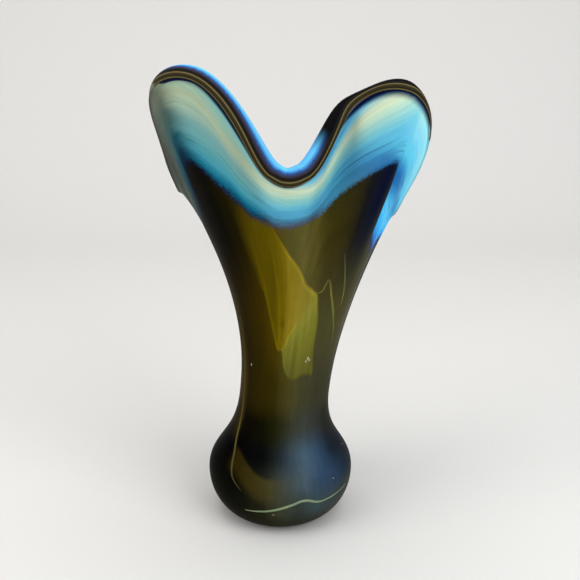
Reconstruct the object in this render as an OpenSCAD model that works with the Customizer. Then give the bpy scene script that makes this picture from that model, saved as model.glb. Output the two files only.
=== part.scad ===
// Hand blown art glass vase: a round bulb foot, a narrow waist, and a wide mouth pulled into
// four lobes with a thick rolled lip. Each batch of glass that the blower adds is a solid of its own.
// The vase stands on z = 0 and its foot is centred on the z axis. Azimuth runs anticlockwise from
// +X, so the front of the vase, at -Y, is at 270 degrees.

/* [Foot] */
// Radius of the flat that the vase stands on
contact_r = 20.5; // [18:0.5:24]
// Radius of the foot where it is widest
foot_r = 40.8; // [38:0.2:43]
// Height of the foot's widest place
foot_wide_z = 26; // [22:1:28]
// Thickness of the glass under the hollow
floor_t = 12; // [8:1:16]

/* [Waist] */
// Outer radius of the waist
waist_r = 24.9; // [23:0.1:28]
// Height of the waist
waist_z = 73.3; // [70:0.1:78]
// Length of the straight pull above the foot's widest place
foot_pull = 15.5; // [12:0.5:20]
// Length of the straight pull below the waist
waist_pull = 29; // [26:1:32]

/* [Flare] */
// Straight pull above the waist, as a share of the height to the rim
pull_low = 0.34; // [0.3:0.01:0.42]
// Straight pull below the rim, as a share of the same height
pull_high = 0.35; // [0.28:0.01:0.4]
// Sideways shift of the mouth against the foot
mouth_shift = 9.9; // [0:0.1:12]

/* [Glass] */
// Thickness of the whole wall
wall_t = 6; // [5:0.5:7]
// Thickness of each coloured coat on the outside
coat_t = 1.5; // [1:0.1:2]
// Thickness of the blue lining behind the lip
lining_t = 1; // [0.6:0.1:1.5]
// Radius of the rolled lip where it is fullest
bead_r = 4.6; // [4.4:0.1:5.5]
// Height that trails and drapes stand above the glass they lie on
trail_h = 0.4; // [0.2:0.1:0.8]

/* [Hidden] */
// The rim, walked once round: [azimuth, radius, height, flare from the vertical, lower edge of the
// lip wrap as a share of the way from the waist to the rim, fullness of the rolled lip from 0, where
// it is no thicker than the wall, to 1]
RIM = [
    [5, 48.5, 170.5, 31, 0.74, 0.5],      // right valley
    [22, 53, 180, 28, 0.73, 0.8],
    [45, 76, 217, 28, 0.74, 0.8],         // back right lobe
    [70, 62, 180, 38, 0.73, 0.9],
    [90, 56, 163, 46, 0.74, 1],           // back valley
    [110, 62, 179, 38, 0.72, 0.9],
    [136, 77, 215, 28, 0.74, 0.8],        // back left lobe
    [160, 64, 194, 34, 0.72, 0.8],
    [176, 60, 184, 42, 0.74, 0.5],        // left valley
    [189, 63, 193, 32, 0.74, 0.2],
    [201, 75, 228.5, 20.5, 0.76, 0.1],
    [237, 84.8, 248.3, 26, 0.72, 0.42],   // front left lobe
    [255, 60, 205, 42, 0.73, 0.9],
    [274.5, 57, 204, 50, 0.75, 1],        // front valley
    [292, 62, 234, 38, 0.66, 0.35],
    [304.5, 84.8, 243.3, 21, 0.78, 0.06], // front right lobe
    [336.5, 64.8, 205, 34, 0.62, 0.06],
    [348, 53.5, 183, 30, 0.66, 0.15]
];
STATIONS = len(RIM);
// Steps round the vase between two stations of the rim
STATION_STEPS = 6;
ROUND_STEPS = STATIONS * STATION_STEPS;
// Rows up the wall: the bulb coat, then the body coat, then the lip wrap
BULB_ROWS = 3;
BODY_ROWS = 9;
LIP_ROWS = 5;
WRAP_START = BULB_ROWS + BODY_ROWS;
ROWS = WRAP_START + LIP_ROWS;
// Way up the wall at which the bulb coat ends, from -1 at the widest foot to 0 at the waist
BULB_TOP = -0.45;
// Heights between which the wall moves over to its shifted mouth
SHIFT_FROM = 30;
SHIFT_TO = 160;
// Smoothness of the turned foot
TURN_FN = 96;
ARC_STEPS = 12;
// Step for slopes
EPS = 0.01;
// Clearance under a trail, so that it lies on the glass and not in it
LIFT = 0.02;
// Turn angles of the lip's section, with the gold thread between THREAD_FROM and THREAD_TO
THREAD_FROM = -4;
THREAD_TO = 12;

// ---- Rules for curves ----

function unit(v) = v / norm(v);
function smooth(a, b, x) = let (s = min(1, max(0, (x - a) / (b - a)))) s * s * (3 - 2 * s);
function bezier(a, b, c, d, s) =
    pow(1 - s, 3) * a + 3 * s * pow(1 - s, 2) * b + 3 * s * s * (1 - s) * c + pow(s, 3) * d;
// Smooth curve through four neighbouring values, from the second to the third
function spline(a, b, c, d, s) =
    0.5 * (2 * b + (c - a) * s + (2 * a - 5 * b + 4 * c - d) * s * s
    + (3 * b - a - 3 * c + d) * s * s * s);
// Column col of the rim at station i, where azimuths keep growing from turn to turn
function rim_value(i, col) =
    let (turn = floor(i / STATIONS))
    RIM[i - turn * STATIONS][col] + (col == 0 ? 360 * turn : 0);
function rim_at(u, col) =
    let (i = floor(u))
    spline(rim_value(i - 1, col), rim_value(i, col), rim_value(i + 1, col), rim_value(i + 2, col), u - i);
// Smooth curve through a list of points, p running from 0 to its last index
function along(points, p) =
    let (last = len(points) - 1, i = min(last - 1, floor(p)))
    spline(points[max(0, i - 1)], points[i], points[i + 1], points[min(last, i + 2)], p - i);

// ---- The outer skin of the glass ----
// u counts stations round the rim. v runs up the wall: -2 at the edge of the flat, -1 at the
// widest foot, 0 at the waist, 1 at the rim.

function foot_curve(v) =
    [contact_r + (foot_r - contact_r) * sin(90 * (v + 2)), foot_wide_z * (1 - cos(90 * (v + 2)))];
function bulb_curve(v) =
    [bezier(foot_r, foot_r, waist_r, waist_r, v + 1),
    bezier(foot_wide_z, foot_wide_z + foot_pull, waist_z - waist_pull, waist_z, v + 1)];
function flare_curve(u, v) =
    let (r = rim_at(u, 1), z = rim_at(u, 2), flare = rim_at(u, 3), rise = z - waist_z)
    [bezier(waist_r, waist_r, r - pull_high * rise * sin(flare), r, v),
    bezier(waist_z, waist_z + pull_low * rise, z - pull_high * rise * cos(flare), z, v)];
function profile(u, v) = v < -1 ? foot_curve(v) : v < 0 ? bulb_curve(v) : flare_curve(u, v);
function glass(u, v) =
    let (p = profile(u, v), a = rim_at(u, 0))
    [p[0] * cos(a) + mouth_shift * smooth(SHIFT_FROM, SHIFT_TO, p[1]), p[0] * sin(a), p[1]];
function round_slope(u, v) = glass(u + EPS, v) - glass(u - EPS, v);
function up_slope(u, v) = glass(u, min(1, v + EPS)) - glass(u, max(-2, v - EPS));
function outward(u, v) = unit(cross(round_slope(u, v), up_slope(u, v)));
// A point under the skin, or over it when depth is negative
function under(u, v, depth) =
    v == -1 ? glass(u, v) - depth * [cos(rim_at(u, 0)), sin(rim_at(u, 0)), 0]
    : glass(u, v) - depth * outward(u, v);

// Way up the wall of row k, so that coats meet each other and the core on the same edges
function row_v(k, u) =
    let (wrap = rim_at(u, 4))
    k <= BULB_ROWS ? -1 + (BULB_TOP + 1) * k / BULB_ROWS
    : k <= WRAP_START ? BULB_TOP + (wrap - BULB_TOP) * (k - BULB_ROWS) / BODY_ROWS
    : wrap + (1 - wrap) * (k - WRAP_START) / LIP_ROWS;

// ---- Solids from sections ----

// Joins equal sections into one solid, either as a closed ring or with its two ends capped.
// rising[e] is true where edge e of a section climbs the wall, and sets the way its faces split.
module loft(sections, ring, rising = []) {
    count = len(sections);
    size = len(sections[0]);
    points = [for (s = sections) for (p = s) p];
    sides = [
        for (j = [0:(ring ? count - 1 : count - 2)], e = [0:size - 1])
            let (next = (j + 1) % count, f = (e + 1) % size,
                a = j * size + e, b = next * size + e, c = next * size + f, d = j * size + f)
            each (rising[e] ? [[a, c, b], [a, d, c]] : [[a, d, b], [b, d, c]])
    ];
    caps = ring ? [] : [
        [for (e = [size - 1:-1:0]) e],
        [for (e = [0:size - 1]) (count - 1) * size + e]
    ];
    polyhedron(points, concat(sides, caps), convexity = 6);
}

// A coat between two depths, over rows k0 to k1
module coat(k0, k1, outer, inner) {
    edges = concat([for (k = [k0:k1]) [k, outer]], [for (k = [k1:-1:k0]) [k, inner]]);
    wall_ring(edges);
}

// A ring of wall whose section is a list of [row, depth]
module wall_ring(edges) {
    size = len(edges);
    rising = [for (e = [0:size - 1]) edges[(e + 1) % size][0] > edges[e][0]];
    sections = [
        for (j = [0:ROUND_STEPS - 1])
            let (u = j / STATION_STEPS)
            [for (e = edges) under(u, row_v(e[0], u), e[1])]
    ];
    loft(sections, true, rising);
}

// A thread of glass along a list of [u, v], thinning to its ends
module trail(path, width, steps) {
    last = len(path) - 1;
    sections = [
        for (k = [0:steps])
            let (p = last * k / steps, here = along(path, p),
                ahead = along(path, min(last, p + EPS)), behind = along(path, max(0, p - EPS)),
                out = outward(here[0], here[1]),
                way = unit(glass(ahead[0], ahead[1]) - glass(behind[0], behind[1])),
                half = unit(cross(out, way)) * width / 2 * (0.35 + 0.65 * sin(180 * k / steps)),
                foot = glass(here[0], here[1]) + LIFT * out)
            [foot + half, foot - half, foot - half * 0.6 + trail_h * out, foot + half * 0.6 + trail_h * out]
    ];
    loft(sections, false);
}

// A sheet of glass over the wall, from a list of [v, left u, right u] going down
module drape(outline, steps, across) {
    last = len(outline) - 1;
    sections = [
        for (k = [0:steps])
            let (row = along(outline, last * k / steps), v = row[0],
                us = [for (i = [0:across]) row[1] + (row[2] - row[1]) * i / across])
            concat([for (i = [0:across]) under(us[i], v, -trail_h)],
                [for (i = [across:-1:0]) under(us[i], v, -LIFT * 3)])
    ];
    loft(sections, false);
}

// ---- The pieces ----

// Thick bottom of the foot, ground flat where the vase stands on it
module foot_gather() {
    inner_r = foot_r - wall_t;
    hollow = [for (i = [0:ARC_STEPS]) let (a = 90 * i / ARC_STEPS)
        [inner_r * cos(a), foot_wide_z - (foot_wide_z - floor_t) * sin(a)]];
    outside = [for (i = [0:ARC_STEPS]) foot_curve(-2 + i / ARC_STEPS)];
    color("midnightblue")
        rotate_extrude($fn = TURN_FN)
            polygon(concat([[0, 0]], outside, hollow));
}

// First gather: the wall that carries the vase, from the foot to the lip
module core_gather() {
    edges = concat(
        [for (k = [0:ROWS]) [k, coat_t]],
        [for (k = [ROWS:-1:WRAP_START]) [k, wall_t - lining_t]],
        [for (k = [WRAP_START:-1:0]) [k, wall_t]]
    );
    color("dimgray") wall_ring(edges);
}

module bulb_coat() {
    color("#16202e") coat(0, BULB_ROWS, 0, coat_t);
}

module body_coat() {
    color("#4a4210") coat(BULB_ROWS, WRAP_START, 0, coat_t);
}

module lip_wrap() {
    color("#5bbfd8") coat(WRAP_START, ROWS, 0, coat_t);
}

module lip_lining() {
    color("#2f9be0") coat(WRAP_START, ROWS, wall_t - lining_t, wall_t);
}

function lip_r(u) = wall_t / 2 + (bead_r - wall_t / 2) * rim_at(u, 5);
// A point of the lip's section at one turn angle, raised off its surface by lift
function bead_point(u, angle, lift = 0) =
    let (outer = under(u, 1, 0), inner = under(u, 1, wall_t), out = unit(outer - inner),
        up = unit(cross(out, round_slope(u, 1))), r = lip_r(u), rise = sqrt(pow(r, 2) - pow(wall_t / 2, 2)))
    (outer + inner) / 2 + rise * up + (r + lift) * (cos(angle) * out + sin(angle) * up);

// The rolled lip, which sits on the end of the wall
module lip_bead() {
    sections = [
        for (j = [0:ROUND_STEPS - 1])
            let (u = j / STATION_STEPS, corner = acos(wall_t / 2 / lip_r(u)),
                angles = [-corner, (THREAD_FROM - corner) / 2, THREAD_FROM, THREAD_TO, 40, 70, 100, 130,
                    160, 170 + corner / 2, 180 + corner])
            [for (a = angles) bead_point(u, a)]
    ];
    color("#2a2412") loft(sections, true);
}

module gold_thread() {
    color("goldenrod") loft([
        for (j = [0:ROUND_STEPS - 1])
            let (u = j / STATION_STEPS)
            [bead_point(u, THREAD_FROM), bead_point(u, THREAD_FROM, trail_h),
            bead_point(u, THREAD_TO, trail_h), bead_point(u, THREAD_TO)]
    ], true);
}

// Sheet of amber that runs down the front of the body to a point
module amber_drape() {
    outline = [[0.68, 11.3, 12.15], [0.6, 11.15, 12.7], [0.5, 11.1, 13.2], [0.4, 11.15, 13.9],
        [0.32, 11.3, 14.05], [0.235, 11.85, 12.3]];
    color("#8a7418") drape(outline, 12, 10);
}

// Pale green sheet at the foot of the amber one
module celadon_drape() {
    outline = [[0.29, 12.8, 14.2], [0.2, 12.5, 14.4], [0.12, 12.9, 14.2]];
    color("#7f8a30") drape(outline, 8, 8);
}

module zigzag_trail() {
    color("#8f9440")
        trail([[14, 0.385], [14.25, 0.39], [14.45, 0.425], [14.65, 0.38], [14.95, 0.32], [15.2, 0.27],
            [15.4, 0.22]], 1.4, 24);
}

module fine_trail() {
    color("#7d8046") trail([[14.72, 0.52], [14.88, 0.46], [15.05, 0.4], [15.15, 0.35]], 0.9, 12);
}

module side_trail() {
    color("#6e5c1c") trail([[10.25, 0.42], [10.25, 0.2], [10.2, 0], [10.33, -0.29], [10.53, -0.5],
        [10.67, -0.71], [10.8, -0.83], [11.1, -0.95]], 1.6, 28);
}

module foot_trail() {
    color("#9aa878") trail([[11.15, -1.23], [11.7, -1.21], [12.25, -1.18], [12.77, -1.13],
        [13.3, -1.07], [13.8, -1.03], [14.64, -1.09], [15.2, -1.11], [15.95, -1.07]], 1.8, 32);
}

foot_gather();
core_gather();
bulb_coat();
body_coat();
lip_wrap();
lip_lining();
lip_bead();
gold_thread();
amber_drape();
celadon_drape();
zigzag_trail();
fine_trail();
side_trail();
foot_trail();
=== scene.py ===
# %% [markdown]
# # A hand blown art glass vase
# A glass blower makes this vase from a handful of hot batches: a foot, a first gather for the wall,
# coloured coats over it, a rolled lip, and trails and drapes laid on last. The whole surface follows
# one rule, a curve that is turned round the axis while its upper end follows a wavy lip, so one
# Geometry Nodes tree blows the skin and every other piece is cut from it or laid on it. The colours
# are painted on the unrolled wall, with the way round and the way up as coordinates.

import math

import bpy
import bmesh
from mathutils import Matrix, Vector


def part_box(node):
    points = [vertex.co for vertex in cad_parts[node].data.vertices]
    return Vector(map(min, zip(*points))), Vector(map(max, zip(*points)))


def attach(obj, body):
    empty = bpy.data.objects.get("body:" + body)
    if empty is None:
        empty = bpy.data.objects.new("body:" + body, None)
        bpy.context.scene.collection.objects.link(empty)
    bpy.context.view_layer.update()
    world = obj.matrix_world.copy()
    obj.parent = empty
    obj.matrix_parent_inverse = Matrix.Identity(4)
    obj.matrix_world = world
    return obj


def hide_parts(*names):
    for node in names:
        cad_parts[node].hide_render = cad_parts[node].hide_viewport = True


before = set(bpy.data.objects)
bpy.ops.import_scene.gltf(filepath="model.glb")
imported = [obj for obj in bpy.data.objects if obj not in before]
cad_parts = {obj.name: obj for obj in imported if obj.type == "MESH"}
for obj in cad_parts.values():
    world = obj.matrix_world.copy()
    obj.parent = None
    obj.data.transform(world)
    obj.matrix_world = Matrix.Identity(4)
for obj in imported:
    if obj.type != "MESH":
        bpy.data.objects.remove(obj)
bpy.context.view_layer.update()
scene = bpy.context.scene
print("nodes in the frame:", sorted(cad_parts))

# %% [markdown]
# The helpers come first. A node tree is quickest to read when its sums are written as sums, so
# `Value` wraps a node's output and its operators add the Math nodes. Every other node comes from
# `Tree.add`, which sets the node's own settings first and then fills or links its sockets.

# %% Values and trees
MM = 0.001


def live(sockets, key):
    """The socket with this name or place among those that the node's settings leave in use."""
    in_use = [s for s in sockets if s.enabled]
    return in_use[key] if isinstance(key, int) else next(s for s in in_use if s.name == key)


class Value:
    """One output of a node. Operators on it add the nodes for the sum that they stand for."""

    def __init__(self, tree, socket):
        self.tree, self.socket = tree, socket

    def is_vector(self):
        return self.socket.type == "VECTOR"

    def __add__(self, other): return combine("ADD", self, other)
    def __radd__(self, other): return combine("ADD", other, self)
    def __sub__(self, other): return combine("SUBTRACT", self, other)
    def __rsub__(self, other): return combine("SUBTRACT", other, self)
    def __mul__(self, other): return combine("MULTIPLY", self, other)
    def __rmul__(self, other): return combine("MULTIPLY", other, self)
    def __truediv__(self, other): return combine("DIVIDE", self, other)
    def __rtruediv__(self, other): return combine("DIVIDE", other, self)
    def __pow__(self, other): return combine("POWER", self, other)
    def __lt__(self, other): return combine("LESS_THAN", self, other)
    def __gt__(self, other): return combine("GREATER_THAN", self, other)


def combine(operation, a, b):
    """A Math node for two numbers, and a Vector Math node as soon as one of them is a vector."""
    tree = a.tree if isinstance(a, Value) else b.tree
    vectors = [isinstance(x, tuple) or isinstance(x, Value) and x.is_vector() for x in (a, b)]
    if not any(vectors):
        return tree.add("ShaderNodeMath", {0: a, 1: b}, operation=operation)
    if operation == "MULTIPLY" and not all(vectors):
        vector, number = (a, b) if vectors[0] else (b, a)
        return tree.add("ShaderNodeVectorMath", {0: vector, "Scale": number}, operation="SCALE")
    return tree.add("ShaderNodeVectorMath", {0: a, 1: b}, operation=operation)


class Tree:
    """A node tree, and the one way that nodes are added to it."""

    def __init__(self, tree):
        self.tree = tree

    def add(self, kind, inputs=None, out=0, ramp=None, **settings):
        """Adds a node with its settings, its colour or float stops, and its values or links."""
        node = self.tree.nodes.new(kind)
        for name, setting in settings.items():
            setattr(node, name, setting)
        if ramp:
            set_stops(node, ramp)
        for key, value in (inputs or {}).items():
            for item in value if isinstance(value, list) else [value]:
                if isinstance(item, Value):
                    self.tree.links.new(item.socket, live(node.inputs, key))
                else:
                    live(node.inputs, key).default_value = item
        if isinstance(out, tuple):
            return [Value(self, live(node.outputs, key)) for key in out]
        return Value(self, live(node.outputs, out))

    def math(self, operation, *values):
        return self.add("ShaderNodeMath", dict(enumerate(values)), operation=operation)

    def vector(self, operation, *values):
        return self.add("ShaderNodeVectorMath", dict(enumerate(values)), operation=operation)

    def xyz(self, x, y, z):
        return self.add("ShaderNodeCombineXYZ", {0: x, 1: y, 2: z})

    def clamp(self, x, low=0.0, high=1.0):
        return self.add("ShaderNodeClamp", {0: x, 1: low, 2: high})

    def ease(self, low, high, x):
        """0 below low and 1 above high, with a smooth step between them."""
        return self.add("ShaderNodeMapRange", {0: x, 1: low, 2: high}, interpolation_type="SMOOTHSTEP")

    def mix(self, mask, a, b):
        return self.add("ShaderNodeMix", {0: mask, 1: a, 2: b}, data_type="RGBA")


def set_stops(node, stops):
    """Fills a Float Curve with (place, value) points or a Color Ramp with (place, colour) stops."""
    if hasattr(node, "mapping"):
        curve = node.mapping.curves[0]
        while len(curve.points) > 2:
            curve.points.remove(curve.points[1])
        curve.points[0].location, curve.points[-1].location = stops[0], stops[-1]
        for place, value in stops[1:-1]:
            curve.points.new(place, value)
        node.mapping.update()
        return
    elements = node.color_ramp.elements
    while len(elements) > 1:
        elements.remove(elements[-1])
    elements[0].position, elements[0].color = stops[0][0], stops[0][1]
    for place, colour in stops[1:]:
        elements.new(place).color = colour


print("operators that add a node: + - * / ** < >")


# %% [markdown]
# A modelling tree gets named inputs for its sizes. They are set on the modifier by each socket's
# identifier, the object is evaluated once, and the result is kept as a plain mesh without the
# modifier, so that every piece ends up as ordinary geometry that any program can read.

# %% Geometry Nodes trees with named inputs
SOCKETS = {float: "NodeSocketFloat", bpy.types.Object: "NodeSocketObject",
           bpy.types.Material: "NodeSocketMaterial"}


class Recipe:
    """A Geometry Nodes tree that is built once and run with different sizes."""

    def __init__(self, name, sizes, build):
        self.name = name
        self.group = bpy.data.node_groups.new(name, "GeometryNodeTree")
        interface = self.group.interface
        interface.new_socket("Geometry", in_out="INPUT", socket_type="NodeSocketGeometry")
        interface.new_socket("Geometry", in_out="OUTPUT", socket_type="NodeSocketGeometry")
        self.identifiers = {}
        for label, kind in sizes.items():
            socket = interface.new_socket(label, in_out="INPUT", socket_type=SOCKETS[kind])
            self.identifiers[label] = socket.identifier
        tree = Tree(self.group)
        entry = self.group.nodes.new("NodeGroupInput")
        size = {s.name: Value(tree, s) for s in entry.outputs if s.name}
        result = build(tree, size)
        result = tree.add("GeometryNodeRealizeInstances", {0: result})
        if "Finish" in size:
            result = tree.add("GeometryNodeSetMaterial", {0: result, "Material": size["Finish"]})
        self.group.links.new(result.socket, self.group.nodes.new("NodeGroupOutput").inputs[0])

    def run(self, name, start, sizes):
        """Runs the tree on the mesh start and returns a new object with the result as its mesh."""
        made = bpy.data.objects.new(name, start)
        scene.collection.objects.link(made)
        modifier = made.modifiers.new(self.name, "NODES")
        modifier.node_group = self.group
        for label, value in sizes.items():
            modifier[self.identifiers[label]] = value
        evaluated = made.evaluated_get(bpy.context.evaluated_depsgraph_get())
        mesh = bpy.data.meshes.new_from_object(evaluated)
        made.modifiers.clear()
        if mesh.materials and mesh.materials[0] is None:
            mesh.materials.pop(index=0)
        made.data = mesh
        mesh.name = name
        print(f"{self.name}: {name}, {len(mesh.vertices)} vertices, {len(mesh.polygons)} faces")
        return made


print("a modelling tree can take:", ", ".join(kind.__name__ for kind in SOCKETS))


# %% [markdown]
# Finishes are named before anything is made, because a tree ends by setting its material. What is in
# each of them is painted further on.

# %% Names of the finishes
FINISHES = ["foot_glass", "core_glass", "olive_glass", "turquoise_glass", "lining_glass",
            "bead_glass", "gold_glass", "amber_glass", "celadon_glass"]
finish = {name: bpy.data.materials.new("satin_" + name) for name in FINISHES}
for material in finish.values():
    material.use_nodes = True
print("finishes:", ", ".join(finish))

# %% [markdown]
# The lip is what makes every such vase its own. The blower pulls four lobes out of the hot rim, so
# the lip is a closed wavy line with a reach from the axis, a height and a flare at each place. It
# could be sculpted, but a smooth curve through eighteen places keeps it a rule: the table gives the
# azimuth in degrees, the reach and height in millimetres, the flare from the vertical in degrees,
# where the pale wrap starts on the wall, and how full the rolled lip is, from 0 to 1.

# %% The lip line
AZIMUTH, REACH, HEIGHT, FLARE, WRAP, FULLNESS = range(6)
RIM = [
    (5, 48.5, 170.5, 31, 0.74, 0.5), (22, 53, 180, 28, 0.73, 0.8), (45, 76, 217, 28, 0.74, 0.8),
    (70, 62, 180, 38, 0.73, 0.9), (90, 56, 163, 46, 0.74, 1), (110, 62, 179, 38, 0.72, 0.9),
    (136, 77, 215, 28, 0.74, 0.8), (160, 64, 194, 34, 0.72, 0.8), (176, 60, 184, 42, 0.74, 0.5),
    (189, 63, 193, 32, 0.74, 0.2), (201, 75, 228.5, 20.5, 0.76, 0.1),
    (237, 84.8, 248.3, 26, 0.72, 0.42), (255, 60, 205, 42, 0.73, 0.9), (274.5, 57, 204, 50, 0.75, 1),
    (292, 62, 234, 38, 0.66, 0.35), (304.5, 84.8, 243.3, 21, 0.78, 0.06),
    (336.5, 64.8, 205, 34, 0.62, 0.06), (348, 53.5, 183, 30, 0.66, 0.15),
]
STATIONS = len(RIM)
STATION_STEPS = 18
COLUMNS = STATIONS * STATION_STEPS
MOUTH_SHIFT = 9.9 * MM
# The smooth lip bulges between the corners of the faceted one, so it is set back, in millimetres
REACH_INSET = 0.2
HEIGHT_INSET = 0.45


def spline(a, b, c, d, s):
    """Smooth curve through four neighbouring values, from the second to the third."""
    return 0.5 * (2 * b + (c - a) * s + (2 * a - 5 * b + 4 * c - d) * s * s
                  + (3 * b - a - 3 * c + d) * s ** 3)


def rim_value(i, column):
    turn, row = divmod(i, STATIONS)
    return RIM[row][column] + (360 * turn if column == AZIMUTH else 0)


def rim_at(u, column):
    """A column of the table at station u, where whole numbers are the places in the table."""
    i = math.floor(u)
    return spline(*[rim_value(i + k, column) for k in (-1, 0, 1, 2)], u - i)


def add_attribute(mesh, name, values):
    mesh.attributes.new(name, "FLOAT", "POINT").data.foreach_set("value", values)


lip_u = [j / STATION_STEPS for j in range(COLUMNS)]
azimuths = [rim_at(u, AZIMUTH) for u in lip_u]
reaches = [(rim_at(u, REACH) - REACH_INSET) * MM for u in lip_u]
heights = [(rim_at(u, HEIGHT) - HEIGHT_INSET) * MM for u in lip_u]
lip_line = bpy.data.meshes.new("lip_line")
lip_line.from_pydata(
    [(r * math.cos(math.radians(a)) + MOUTH_SHIFT, r * math.sin(math.radians(a)), z)
     for a, r, z in zip(azimuths, reaches, heights)],
    [(j, (j + 1) % COLUMNS) for j in range(COLUMNS)], [])
for name, values in {
    "azimuth": azimuths, "reach": reaches, "height": heights,
    "flare": [math.radians(rim_at(u, FLARE)) for u in lip_u],
    "wrap": [rim_at(u, WRAP) for u in lip_u],
    "fullness": [rim_at(u, FULLNESS) for u in lip_u],
}.items():
    add_attribute(lip_line, name, values)
print("lip from", round(min(heights) / MM, 1), "to", round(max(heights) / MM, 1), "mm high")

# %% [markdown]
# The skin is the outside of the glass. Its rule is three curves on end: a quarter of an ellipse up
# the foot, a pulled curve to the waist, and another out to the lip. The tree bends a flat grid, one
# column for each place on the lip line and rows that run up the wall. Way up is counted as the
# blower would: -2 at the edge of the flat, -1 at the widest foot, 0 at the waist and 1 at the lip.
# The unrolled wall is kept as the UV map, so that paint and trails can be placed on it.

# %% The rule of the wall
foot_low, foot_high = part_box("foot_gather")
FOOT_R = (foot_high.x - foot_low.x) / 2
FOOT_WIDE_Z = foot_high.z
CONTACT_R = 20.5 * MM
WAIST_R = 24.9 * MM
WAIST_Z = 73.3 * MM
BULB_TOP = -0.45
FOOT_ROWS, BULB_ROWS, BODY_ROWS, LIP_ROWS = 20, 20, 72, 36
WIDEST_ROW = FOOT_ROWS
COAT_ROW = WIDEST_ROW + BULB_ROWS
WRAP_ROW = COAT_ROW + BODY_ROWS
LIP_ROW = WRAP_ROW + LIP_ROWS
SKIN_SIZES = {
    "Contact radius": CONTACT_R, "Foot radius": FOOT_R, "Foot height": FOOT_WIDE_Z,
    "Foot pull": 15.5 * MM, "Waist radius": WAIST_R, "Waist height": WAIST_Z, "Waist pull": 29 * MM,
    "Low pull": 0.34, "High pull": 0.35, "Mouth shift": MOUTH_SHIFT,
    "Shift from": 30 * MM, "Shift to": 160 * MM, "Bulb top": BULB_TOP,
}


def v_of(way_up):
    """The second UV coordinate at a way up the wall, from -2 to 1."""
    return (way_up + 2) / 3


def pulled(a, b, c, d, s):
    """The curve that hot glass takes between two ends when each is pulled along its own way."""
    rest = 1 - s
    return rest * rest * rest * a + 3 * s * rest * rest * b + 3 * s * s * rest * c + s * s * s * d


print(f"foot {2 * FOOT_R / MM:.1f} mm wide, waist {2 * WAIST_R / MM:.1f} mm, {LIP_ROW} rows up the wall")

# %% [markdown]
# A modelling tree reads and keeps values on the mesh by name. The node for a flat grid gives only
# positions, so its columns and rows are counted back from them, and the grid is then bent.

# %% Nodes that the trees share
MERGE = 0.01 * MM


def named(tree, name, data_type="FLOAT"):
    return tree.add("GeometryNodeInputNamedAttribute", {"Name": name}, data_type=data_type)


def sample(tree, geometry, value, index, data_type="FLOAT"):
    """A value of the geometry at one of its points."""
    return tree.add("GeometryNodeSampleIndex", {0: geometry, 1: value, 2: index}, data_type=data_type)


def grid_places(tree, columns, rows):
    """A flat grid, its column and its row as whole numbers."""
    sheet = tree.add("GeometryNodeMeshGrid", {0: 1.0, 1: 1.0, 2: columns + 1, 3: rows + 1})
    x, y = tree.add("ShaderNodeSeparateXYZ", {0: tree.add("GeometryNodeInputPosition")}, out=(0, 1))
    return sheet, tree.math("ROUND", (x + 0.5) * columns), tree.math("ROUND", (y + 0.5) * rows)


def store(tree, mesh, name, value, data_type="FLOAT", domain="POINT"):
    """Keeps a value on the mesh under a name."""
    return tree.add("GeometryNodeStoreNamedAttribute", {0: mesh, "Name": name, "Value": value},
                    data_type=data_type, domain=domain)


def store_uv(tree, mesh, place):
    """Keeps a place on the unrolled wall as the UV map."""
    return store(tree, mesh, "UVMap", place, "FLOAT2", "CORNER")


print("seams are merged within", MERGE / MM, "mm")

# %% Blow the skin
def blow_skin(tree, size):
    lip = size["Geometry"]
    sheet, column, row = grid_places(tree, COLUMNS, LIP_ROW)
    at = tree.math("MODULO", column, float(COLUMNS))
    rim = {name: sample(tree, lip, named(tree, name), at)
           for name in ("azimuth", "reach", "height", "flare", "wrap")}
    azimuth = rim["azimuth"] + 360 * (column > COLUMNS - 0.5)
    top = size["Bulb top"]

    def climb(first, count, step):
        return tree.clamp((row - first) / count) * step

    way_up = (climb(0, FOOT_ROWS, 1) - 2 + climb(WIDEST_ROW, BULB_ROWS, top + 1)
              + climb(COAT_ROW, BODY_ROWS, rim["wrap"] - top)
              + climb(WRAP_ROW, LIP_ROWS, 1 - rim["wrap"]))
    turn = tree.clamp(way_up + 2) * (math.pi / 2)
    neck, rise = tree.clamp(way_up + 1), tree.clamp(way_up)
    foot_r, foot_z = size["Foot radius"], size["Foot height"]
    waist_r, waist_z = size["Waist radius"], size["Waist height"]
    tall = rim["height"] - waist_z
    last_r = rim["reach"] - size["High pull"] * tall * tree.math("SINE", rim["flare"])
    last_z = rim["height"] - size["High pull"] * tall * tree.math("COSINE", rim["flare"])
    low_z, first_z = waist_z - size["Waist pull"], waist_z + size["Low pull"] * tall
    radius = (size["Contact radius"] + (foot_r - size["Contact radius"]) * tree.math("SINE", turn)
              + pulled(foot_r, foot_r, waist_r, waist_r, neck) - foot_r
              + pulled(waist_r, waist_r, last_r, rim["reach"], rise) - waist_r)
    height = (foot_z * (1 - tree.math("COSINE", turn))
              + pulled(foot_z, foot_z + size["Foot pull"], low_z, waist_z, neck) - foot_z
              + pulled(waist_z, first_z, last_z, rim["height"], rise) - waist_z)
    angle = azimuth * (math.pi / 180)
    shift = size["Mouth shift"] * tree.ease(size["Shift from"], size["Shift to"], height)
    east, north = radius * tree.math("COSINE", angle) + shift, radius * tree.math("SINE", angle)
    kept = store_uv(tree, sheet, tree.xyz(azimuth / 360, v_of(way_up), 0.0))
    kept = store(tree, kept, "row", row)
    bent = tree.add("GeometryNodeSetPosition", {0: kept, "Position": tree.xyz(east, north, height)})
    closed = tree.add("GeometryNodeMergeByDistance", {0: bent, "Distance": MERGE})
    return store(tree, closed, "outward", tree.add("GeometryNodeInputNormal"), "FLOAT_VECTOR")


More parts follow.
